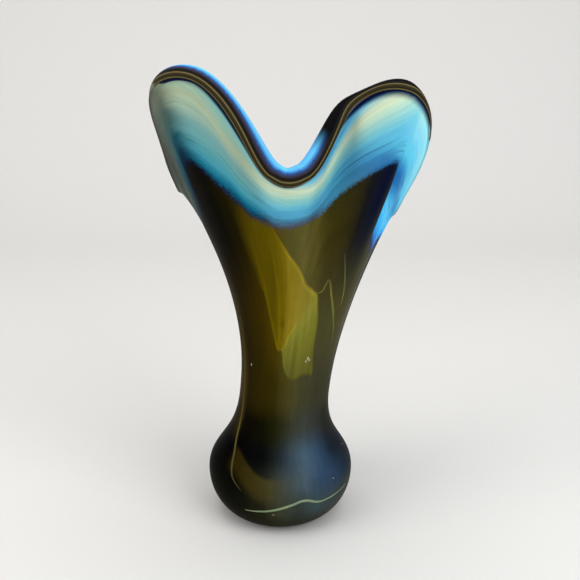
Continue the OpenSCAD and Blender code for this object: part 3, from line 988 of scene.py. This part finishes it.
def paint_specks_and_glints(tree, at, colour):
    for azimuth, way_up, size in SPECKS_AND_GLINTS:
        speck = (near(tree, at["azimuth"] + at["mottle"] * 0.8, azimuth, SPECK_TURN * size)
               * near(tree, at["way up"] + at["mottle"] * 0.003, way_up, SPECK_RISE * size))
        # Pale specks, partly chips in the surface and partly painted glints of light.
        colour = tree.mix(tree.clamp(speck * 1.3), colour, glass_rgb(176, 174, 148))
    return colour


print(len(SPECKS_AND_GLINTS), "specks_and_glints")

# %% [markdown]
# The wrap is painted in layers, as a picture is: the front first, then the duller left lobe, the
# bright right one, a blue halo round the dark eye and the fine lines that the spiral leaves. Noise
# that is stretched along the wrap draws the lines.

# %% Paint the wrap
def paint_wrap(tree, at):
    """The pale wrap, and how much of it there is."""
    turn, azimuth, way_up = at["turn"], at["azimuth"], at["way up"]
    edge = height_round(tree, turn, WRAP_EDGE)
    crest = height_round(tree, turn, CREAM_CREST)
    share = (way_up - edge) / (crest - edge)
    lines = noise(tree, tree.xyz(at["east"] * 2.2, at["north"] * 2.2, share * 7), detail=5.0,
                  roughness=0.6)
    fine = noise(tree, tree.xyz(at["east"] * 3, at["north"] * 3, share * 32), detail=4.0)
    edge_grain = (at["grain"] * (0.08 - 0.05 * tree.ease(284, 300, azimuth))
                  * (1 - tree.ease(0.0, 0.35, share)))
    moved = share + lines * 0.12 + edge_grain
    front = ramp_of(tree, moved, WRAP_FRONT, WRAP_LOW, WRAP_HIGH)
    left = ramp_of(tree, moved, WRAP_LEFT, WRAP_LOW, WRAP_HIGH)
    shoulder = ramp_of(tree, moved, WRAP_SHOULDER, WRAP_LOW, WRAP_HIGH)
    right_edge = tree.math("MINIMUM", edge, RIGHT_EDGE + 0.26 * tree.ease(330, 352, azimuth))
    right_share = (way_up - right_edge) / (1.1 - right_edge)
    right = ramp_of(tree, right_share + lines * 0.07 + edge_grain, WRAP_RIGHT, WRAP_LOW, WRAP_HIGH)
    # Painted shade: the grey-green strip of the wrap on the left side.
    shaded_strip = ramp_of(tree, way_up + lines * 0.03, SHADED_STRIP, 0.6, 1.0)
    on_left = tree.ease(176, 190, azimuth) * (1 - tree.ease(217, 232, azimuth + lines * 4))
    on_shoulder = tree.ease(176, 190, azimuth) * (1 - tree.ease(244, 258, azimuth + lines * 4))
    on_shaded_strip = tree.ease(178, 192, azimuth) * (1 - tree.ease(200, 213, azimuth + lines * 3))
    on_right = (tree.ease(295, 318, azimuth - (way_up - 0.9) * 60 + lines * 3)
                + (1 - tree.ease(0.0, 14.0, azimuth)))
    colour = tree.mix(on_left, tree.mix(on_shoulder, front, shoulder), left)
    colour = tree.mix(tree.clamp(on_right), colour, right)
    halo = near(tree, azimuth, 311, 18) * near(tree, way_up + lines * 0.012, 0.795, 0.08)
    colour = tree.mix(halo * 0.85, colour, glass_rgb(12, 92, 164))
    # Lays the painted shade strip over the left side.
    colour = tree.mix(on_shaded_strip, colour, shaded_strip)
    dark_lines = (tree.ease(0.1, 0.42, fine) * tree.ease(0.0, 0.08, share)
                  * (1 - tree.ease(0.35, 0.85, share)))
    colour = shade(tree, colour, 1 - 0.5 * dark_lines)
    colour = shade(tree, colour, 1 + 0.16 * fine + 0.06 * lines)
    shadow = height_round(tree, turn, LIP_SHADOW)
    dark_lip = tree.ease(-0.012, 0.012, way_up - shadow + lines * 0.004)
    colour = tree.mix(dark_lip, colour, glass_rgb(14, 40, 78))
    return colour, tree.ease(-0.07, 0.05, share + edge_grain * 1.6 + lines * 0.04)


print("wrap colours run over shares", WRAP_LOW, "to", WRAP_HIGH)

# %% [markdown]
# The amber sheet and the celadon one are clearer glass over the olive body, so they look brighter,
# most of all where they are folded. Their edges follow the same lines as the drapes' own meshes.

# %% Paint the drapes
def paint_drapes(tree, at, colour):
    """The amber sheet and the celadon one at its foot, over the body colour."""
    azimuth, way_up = at["azimuth"], at["way up"]
    wander = at["flow"] * 1.2
    left = azimuth_up(tree, way_up, AMBER_LEFT)
    right = azimuth_up(tree, way_up, AMBER_RIGHT)
    foot_edge = height_round(tree, at["turn"], DRAPE_FOOT)
    softness = 2.0 + 7.0 * tree.ease(0.35, 0.7, way_up)
    inside = (tree.clamp((azimuth - left + wander) / softness + 0.5)
              * tree.ease(-1.0, 0.6, right - azimuth + wander * 0.5)
              * tree.ease(-0.006, 0.012, way_up - foot_edge + at["flow"] * 0.006))
    amber = ramp_of(tree, azimuth + at["streak"] * 4, AMBER, 236, 296)
    celadon = ramp_of(tree, way_up + at["streak"] * 0.02, CELADON, 0.08, 0.44)
    seam = azimuth_up(tree, way_up, CELADON_EDGE)
    pale = tree.ease(-2.0, 3.0, azimuth - seam) * (1 - tree.ease(0.3, 0.46, way_up))
    sheet = tree.mix(pale, amber, celadon)
    vein = near(tree, azimuth + wander, 274, 3.5) * (1 - tree.ease(0.24, 0.32, way_up))
    sheet = shade(tree, sheet, 1 - 0.22 * vein)
    arm = near(tree, azimuth, seam, 2.0) * (1 - tree.ease(0.33, 0.37, way_up))
    left_arm = near(tree, azimuth - left, 2.5, 2.2) * (1 - tree.ease(0.4, 0.66, way_up))
    inner_arm = near(tree, azimuth + (way_up - 0.25) * 16, 255.5, 1.6) * (1 - tree.ease(0.5, 0.7, way_up))
    border = near(tree, right - azimuth, 1.5, 1.8) * tree.ease(0.3, 0.42, way_up)
    sheet = shade(tree, sheet, 1 + 0.26 * arm + 0.34 * left_arm + 0.2 * inner_arm + 0.22 * border)
    sheet = shade(tree, sheet, 1 + 0.22 * at["streak"] + 0.1 * at["mottle"])
    spot = near(tree, azimuth, 257, 4.0) * near(tree, way_up, 0.355, 0.035)
    sheet = shade(tree, sheet, 1 - 0.25 * spot)
    return tree.mix(inside, colour, sheet)


print("amber spans", AMBER[0][0], "to", AMBER[-1][0], "degrees")

# %% [markdown]
# A brown crescent sweeps over the front of the bulb, where the body coat was pulled down over the
# foot. It is a band between two lines that both sink on the way round.

# %% Paint the crescent
BROWN = [(218, (40, 29, 4)), (234, (40, 32, 3)), (248, (50, 43, 13)), (262, (60, 56, 30)),
         (286, (66, 70, 60))]


def paint_crescent(tree, at, colour):
    """The brown crescent over the front of the bulb."""
    azimuth, way_up = at["azimuth"], at["way up"]
    top = -0.42 - 0.3 * tree.ease(218, 262, azimuth)
    low = -0.7 - 0.34 * tree.ease(224, 258, azimuth)
    inside = (tree.ease(-0.03, 0.04, top - way_up + at["flow"] * 0.03)
              * tree.ease(-0.1, 0.09, way_up - low + at["flow"] * 0.04)
              * tree.ease(215, 225, azimuth) * (1 - tree.ease(256, 288, azimuth)))
    brown = ramp_of(tree, azimuth, BROWN, 216, 290)
    brown = shade(tree, brown, 1 + 0.25 * at["streak"])
    return tree.mix(inside, colour, brown)


print("the crescent has", len(BROWN), "browns")

# %% [markdown]
# All of it goes into one node group. It reads the unrolled wall once, makes the noises that the
# parts of the painting share, and lays rings, crescent, drapes, pale specks with painted glints and
# wrap over each other.

# %% The whole painting
def paint_glass(tree):
    """The colour of the skin at each place of the unrolled wall."""
    place = tree.add("ShaderNodeUVMap", uv_map="UVMap")
    across, up = tree.add("ShaderNodeSeparateXYZ", {0: place}, out=(0, 1))
    turn = tree.math("FRACT", across)
    angle = across * math.tau
    at = {"turn": turn, "azimuth": turn * 360, "way up": up * 3 - 2,
          "east": tree.math("COSINE", angle), "north": tree.math("SINE", angle)}
    body = body_place(tree)
    at["grain"] = noise(tree, body, scale=900.0, detail=2.0)
    at["flow"] = noise(tree, tree.xyz(at["east"] * 2, at["north"] * 2, at["way up"] * 2.5))
    at["mottle"] = noise(tree, body, scale=190.0, detail=5.0, roughness=0.65)
    leaning = (turn * 360 - at["way up"] * 80) * (math.pi / 180)
    at["swirl"] = noise(tree, on_circle(tree, leaning, 11, at["way up"] * 1.6), detail=4.0,
                        roughness=0.6)
    at["streak"] = noise(tree, tree.xyz(at["east"] * 13, at["north"] * 13, at["way up"] * 2.2),
                         detail=4.0, roughness=0.6)
    ring_at = at["way up"] + at["flow"] * 0.05
    turned = tree.math("FRACT", turn + at["flow"] * 0.004 + at["streak"] * 0.003)
    (low, first), *rest = BODY_RINGS_WITH_SHEEN
    colour = ring_of_glass(tree, turned, first)
    for high, stops in rest:
        colour = tree.mix(tree.ease(low, high, ring_at), colour, ring_of_glass(tree, turned, stops))
        low = high
    leaning_here = tree.ease(0.36, 0.5, at["way up"]) * near(tree, at["azimuth"], 286, 26)
    colour = shade(tree, colour, 1 + 0.2 * at["streak"] + 0.14 * at["flow"] + 0.16 * at["mottle"]
                   + 0.45 * at["swirl"] * leaning_here)
    colour = paint_crescent(tree, at, colour)
    colour = paint_drapes(tree, at, colour)
    eye = (near(tree, at["azimuth"], 306.5, 7.5)
           * tree.ease(0.45, 0.72, at["way up"] + at["flow"] * 0.03))
    colour = tree.mix(eye, colour, glass_rgb(8, 14, 38))
    colour = paint_specks_and_glints(tree, at, colour)
    wrap, amount = paint_wrap(tree, at)
    return tree.mix(amount, colour, wrap)


def colour_group(name, paint):
    """A shader node group with one colour output."""
    group = bpy.data.node_groups.new(name, "ShaderNodeTree")
    group.interface.new_socket("Colour", in_out="OUTPUT", socket_type="NodeSocketColor")
    colour = paint(Tree(group))
    group.links.new(colour.socket, group.nodes.new("NodeGroupOutput").inputs[0])
    return group


painting = colour_group("art_glass", paint_glass)
print("art_glass:", len(painting.nodes), "nodes")

# %% [markdown]
# The outside of the real vase is satin: it is dipped in acid, which takes the shine off and leaves
# a very fine grain. So the shader is a rough dielectric with a low, wide highlight, a slow wave left
# by the hand tools, and the grain as a fine bump.

# %% Satin glass
def satin(material, colour_of, roughness=0.42, grain=0.05, specular=0.008):
    """Fills a material with satin glass of the colour that colour_of adds to its tree."""
    tree = Tree(material.node_tree)
    shader = material.node_tree.nodes["Principled BSDF"]
    colour = colour_of(tree)
    place = body_place(tree)
    worn = noise(tree, place, scale=60.0, detail=4.0)
    wave = noise(tree, place, scale=38.0, detail=1.0)
    fine = noise(tree, place, scale=2600.0, detail=2.0)
    bump = tree.add("ShaderNodeBump", {"Strength": 0.12, "Distance": 1.0 * MM, "Height": wave})
    bump = tree.add("ShaderNodeBump", {"Strength": grain, "Distance": 0.1 * MM, "Height": fine,
                                       "Normal": bump})
    shader.inputs["Specular IOR Level"].default_value = specular
    links = material.node_tree.links
    links.new(colour.socket, shader.inputs["Base Color"])
    links.new((roughness + 0.05 * worn).socket, shader.inputs["Roughness"])
    links.new(bump.socket, shader.inputs["Normal"])
    print(material.name, "has", len(material.node_tree.nodes), "nodes")


def from_painting(tree):
    return tree.add("ShaderNodeGroup", node_tree=painting)


def with_trails(stops):
    """Paints from the skin, and from stops up the wall where a trail stands up to its crest."""
    def colour(tree):
        place = tree.add("ShaderNodeUVMap", uv_map="UVMap")
        up = tree.add("ShaderNodeSeparateXYZ", {0: place}, out=1)
        crest = tree.add("ShaderNodeAttribute", out="Fac", attribute_name="crest")
        wisps = noise(tree, body_place(tree), scale=140.0)
        pale = ramp_of(tree, up * 3 - 2, stops, -1.5, 0.6)
        return tree.mix(tree.ease(0.1, 0.75, crest + wisps * 0.15), from_painting(tree),
                        shade(tree, pale, 1 + 0.2 * wisps))
    return colour


CELADON_TRAILS = [(-1.3, (122, 138, 104)), (-0.9, (120, 134, 108)), (0.15, (82, 82, 42)),
                  (0.28, (92, 94, 44)), (0.385, (112, 113, 46)), (0.42, (92, 93, 50)),
                  (0.5, (80, 81, 52))]
AMBER_TRAILS = [(-1.0, (46, 46, 22)), (-0.7, (74, 67, 34)), (-0.2, (88, 78, 34)), (0.1, (78, 65, 18)),
                (0.5, (58, 46, 14))]
for name in ("foot_glass", "olive_glass", "turquoise_glass"):
    satin(finish[name], from_painting)
satin(finish["amber_glass"], with_trails(AMBER_TRAILS))
satin(finish["celadon_glass"], with_trails(CELADON_TRAILS))

# %% [markdown]
# The rolled lip shows each layer of the wall in turn as stripes along it: dark olive outside, smoky
# purple on top and blue on the inner side, so its colour runs round its section. On the outer side
# of the lobes the pale wrap runs over it. On the right lobe a thin pale lavender line along the
# outer side of the bead is a painted highlight.

# %% Colours of the lip
LIP_STRIPES = [(0.0, (8, 22, 60)), (0.09, (8, 15, 42)), (0.13, (16, 18, 28)), (0.17, (44, 40, 24)),
               (0.255, (60, 54, 34)), (0.275, (128, 116, 78)), (0.295, (58, 52, 32)), (0.33, (18, 16, 13)),
               (0.37, (42, 38, 40)), (0.42, (56, 58, 84)), (0.46, (46, 80, 134)), (0.5, (66, 140, 204)),
               (0.56, (104, 192, 236)), (0.75, (84, 168, 224)), (1.0, (58, 128, 190))]
PALE_LIP = [(0, 0.3), (12, 0.0), (168, 0.0), (180, 0.3), (189, 0.62), (206, 0.62), (214, 0.4), (222, 0.12),
            (228, 0.0), (316, 0.0), (323, 0.1), (330, 0.4), (336, 0.62), (348, 0.62)]
PALE_RING = [(20, (110, 150, 160)), (180, (76, 78, 72)), (205, (82, 88, 78)), (216, (98, 108, 92)),
             (228, (150, 165, 132)), (240, (180, 190, 150)), (300, (110, 205, 230)), (315, (140, 225, 238)),
             (330, (140, 215, 230)), (348, (130, 200, 220))]


print("the lip has", len(LIP_STRIPES), "stripes round its section")

# %% Paint the lip and its thread
def lip_place(tree):
    """The azimuth on the lip, the share of the way round its section, and noise along it."""
    place = tree.add("ShaderNodeUVMap", uv_map="UVMap")
    across, round_it = tree.add("ShaderNodeSeparateXYZ", {0: place}, out=(0, 1))
    angle = across * math.tau
    lines = noise(tree, on_circle(tree, angle, 5, round_it * 9), detail=4.0)
    return tree.math("FRACT", across), round_it, lines


def pale_lip(tree, turn, share, lines, colour):
    """The pale wrap runs over the lip on the outer side of the lobes."""
    limit = height_round(tree, turn, PALE_LIP)
    pale = ring_of_glass(tree, turn, PALE_RING)
    amount = tree.ease(-0.03, 0.03, limit - share + lines * 0.02) * tree.ease(0.0, 0.04, limit)
    return tree.mix(amount, colour, shade(tree, pale, 1 + 0.12 * lines))


def lip_colour(tree):
    turn, share, lines = lip_place(tree)
    grain = noise(tree, body_place(tree), scale=1100.0, detail=2.0)
    grainy = near(tree, share, 0.43, 0.09) * 0.035
    stripes = ramp_of(tree, share + lines * 0.012 + grain * grainy, LIP_STRIPES, 0.0, 1.0)
    azimuth = turn * 360
    on_right = tree.ease(281, 287, azimuth) * (1 - tree.ease(345, 358, azimuth))
    stripes = tree.mix(on_right * tree.ease(0.33, 0.4, share), stripes, glass_rgb(14, 14, 14))
    # Painted highlight: a thin pale lavender line along the outer side of the bead on the right lobe.
    stripes = tree.mix(on_right * near(tree, share, 0.1, 0.02), stripes, glass_rgb(112, 116, 150))
    return pale_lip(tree, turn, share, lines, shade(tree, stripes, 1 + 0.18 * lines))


def thread_colour(tree):
    turn, share, lines = lip_place(tree)
    crest = near(tree, share, 0.25, 0.17) * (0.65 + 0.35 * tree.ease(-0.4, 0.4, lines))
    gold = tree.mix(crest, glass_rgb(34, 32, 22), glass_rgb(112, 101, 62))
    return pale_lip(tree, turn, 0.2, lines, gold)


satin(finish["bead_glass"], lip_colour, roughness=0.36)
satin(finish["gold_glass"], thread_colour, roughness=0.34)

# %% [markdown]
# The acid doesn't reach the inside of the vase, so it keeps a wet gloss: the same shader, smoother
# and without the grain. Its blue lining fades to blue-black on the way down.

# %% The inside
INSIDE = [(-1.0, (5, 8, 14)), (0.0, (14, 16, 12)), (0.5, (26, 28, 18)), (0.7, (10, 44, 86)),
          (0.85, (26, 96, 170)), (1.0, (84, 168, 226))]


def inside_colour(tree):
    place = tree.add("ShaderNodeUVMap", uv_map="UVMap")
    across, up = tree.add("ShaderNodeSeparateXYZ", {0: place}, out=(0, 1))
    angle = across * math.tau
    way_up = up * 3 - 2
    swirl = noise(tree, on_circle(tree, angle, 3, way_up * 3), detail=4.0)
    return ramp_of(tree, way_up + swirl * 0.05, INSIDE, -1.0, 1.0)


for name in ("core_glass", "lining_glass"):
    satin(finish[name], inside_colour, roughness=0.16, grain=0.0)

# %% [markdown]
# The vase stands on a plain pale floor that curves up behind it into a wall, like the paper roll of
# a studio, so that no corner shows.

# %% Floor
FLOOR_REACH = 1.6
FLOOR_SIDE = 2.4
WALL_AT = 0.9
BEND_R = 0.35
BEND_STEPS = 16


def make_backdrop():
    """A floor that turns up into a wall along a quarter circle."""
    profile = [(-FLOOR_REACH, 0.0)]
    for k in range(BEND_STEPS + 1):
        turn = math.pi / 2 * k / BEND_STEPS
        profile.append((WALL_AT - BEND_R + BEND_R * math.sin(turn), BEND_R * (1 - math.cos(turn))))
    profile.append((WALL_AT, FLOOR_REACH))
    points = [(side, y, z) for y, z in profile for side in (-FLOOR_SIDE, FLOOR_SIDE)]
    faces = [(2 * k, 2 * k + 1, 2 * k + 3, 2 * k + 2) for k in range(len(profile) - 1)]
    mesh = bpy.data.meshes.new("backdrop")
    mesh.from_pydata(points, [], faces)
    for face in mesh.polygons:
        face.use_smooth = True
    paper = bpy.data.materials.new("backdrop_paper")
    paper.use_nodes = True
    tree = Tree(paper.node_tree)
    shader = paper.node_tree.nodes["Principled BSDF"]
    fibre = noise(tree, body_place(tree), scale=400.0)
    colour = shade(tree, glass_rgb(214, 212, 208), 1 + 0.02 * fibre)
    paper.node_tree.links.new(colour.socket, shader.inputs["Base Color"])
    shader.inputs["Roughness"].default_value = 0.8
    mesh.materials.append(paper)
    made = bpy.data.objects.new("backdrop", mesh)
    scene.collection.objects.link(made)
    return made


backdrop = make_backdrop()
print("backdrop:", len(backdrop.data.polygons), "faces")

# %% [markdown]
# Large soft lamps light it from the right, the left and above. A lamp's size is what makes its
# shadows soft, so these are as wide as the vase is far from them, and the room adds a little blue.

# %% Light
MIDDLE = (0.0, 0.0, 0.13)
LAMPS = [
    ("window", (0.75, -0.75, 0.75), 0.9, 0.9, 9.5, (0.94, 0.97, 1.0)),
    ("room_left", (-1.0, -0.5, 0.7), 0.8, 1.0, 7.0, (1.0, 0.98, 0.95)),
    ("ceiling", (0.0, -0.1, 1.3), 1.4, 1.4, 12.0, (1.0, 1.0, 1.0)),
]
ROOM_TINT = (0.9, 0.93, 1.0, 1.0)
ROOM_LIGHT = 0.35


def softbox(name, place, width, height, power, tint):
    """A rectangular lamp that looks at the middle of the vase."""
    lamp = bpy.data.lights.new(name, "AREA")
    lamp.shape = "RECTANGLE"
    lamp.size, lamp.size_y = width, height
    lamp.energy = power
    lamp.color = tint
    made = bpy.data.objects.new(name, lamp)
    made.location = place
    made.rotation_euler = (Vector(MIDDLE) - Vector(place)).to_track_quat("-Z", "Y").to_euler()
    scene.collection.objects.link(made)
    print(f"lamp {name}: {power} W")


for lamp_sizes in LAMPS:
    softbox(*lamp_sizes)
world = bpy.data.worlds.new("room")
world.use_nodes = True
world.node_tree.nodes["Background"].inputs["Color"].default_value = ROOM_TINT
world.node_tree.nodes["Background"].inputs["Strength"].default_value = ROOM_LIGHT
scene.world = world
scene.view_settings.view_transform = "Standard"

# %% [markdown]
# The camera stands a little above the vase and looks slightly down on it, with a lens that is a bit
# longer than the eye's, so that the foot and the lip keep their true shares of the height.

# %% Camera
FOCAL = 55.862
SENSOR = 36.0
CAMERA_AT = (0.0056, -0.461, 0.286)
LOOK_DOWN = 18.55
lens = bpy.data.cameras.new("camera")
lens.lens = FOCAL
lens.sensor_width = SENSOR
camera = bpy.data.objects.new("camera", lens)
camera.location = CAMERA_AT
camera.rotation_euler = (math.radians(90 - LOOK_DOWN), 0.0, 0.0)
scene.collection.objects.link(camera)
scene.camera = camera
print(f"camera {-CAMERA_AT[1]:.2f} m in front, {FOCAL:.0f} mm lens, {LOOK_DOWN} degrees down")

# %% [markdown]
# Every piece rides on the one body of the vase, and the imported part of its node is hidden, so that
# the piece shows in its place.

# %% Hand over to the frame
pieces = [
    (foot, "foot_gather", "foot_glass"), (core, "core_gather", "core_glass"),
    (bulb_coat, "bulb_coat", "foot_glass"), (body_coat, "body_coat", "olive_glass"),
    (lip_wrap, "lip_wrap", "turquoise_glass"), (lining, "lip_lining", "lining_glass"),
    (bead, "lip_bead", "bead_glass"), (thread, "gold_thread", "gold_glass"),
    (drapes["amber_drape"], "amber_drape", "amber_glass"),
    (drapes["celadon_drape"], "celadon_drape", "celadon_glass"),
]
for name, made in trails.items():
    pieces.append((made, name, TRAIL_GLASS.get(name, "celadon_glass")))
for made, node_name, slot_name in pieces:
    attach(made, "root")
    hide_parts(node_name)
print(len(pieces), "pieces on body root")
